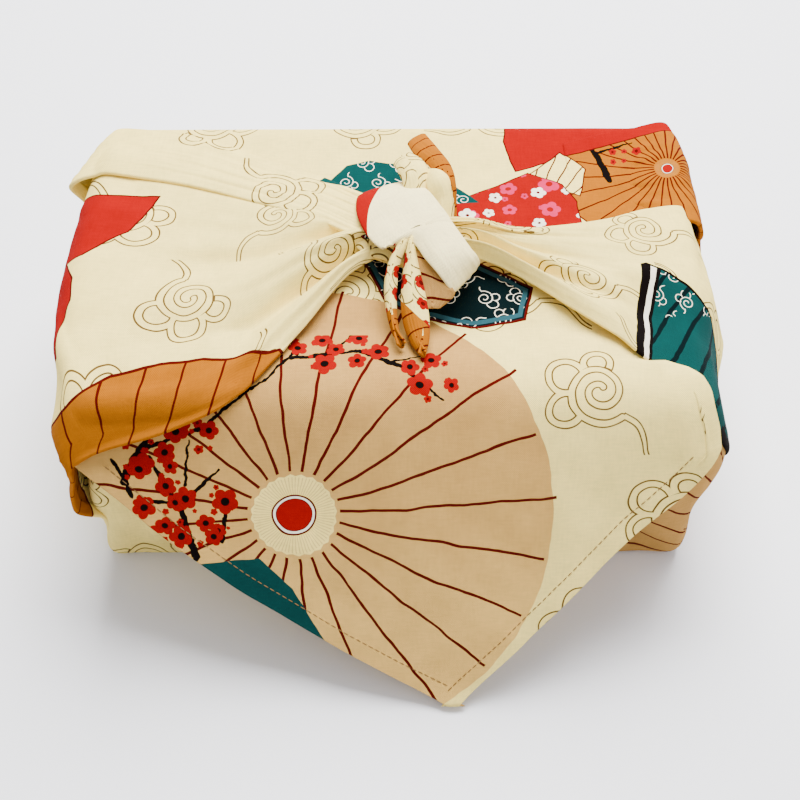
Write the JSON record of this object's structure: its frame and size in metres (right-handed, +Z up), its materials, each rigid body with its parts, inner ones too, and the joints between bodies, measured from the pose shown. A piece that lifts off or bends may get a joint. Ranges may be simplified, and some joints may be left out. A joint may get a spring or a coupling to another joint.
{
  "type": "furoshiki wrap",
  "caption": "Square printed cotton cloth tied round a box, with a corner flap down the front, two pulled wings and a knot on top.",
  "frame": {"origin": "middle of the flat base of the wrapped box, on the surface it stands on", "axes": "+X along the bundle's width, +Y away from the front flap, +Z up"},
  "size_m": [0.2305, 0.1961, 0.1151],
  "materials": {
    "cotton": "printed plain-weave cotton, matt"
  },
  "bodies": {
    "root": {"furoshiki": "cotton"}
  },
  "joints": []
}
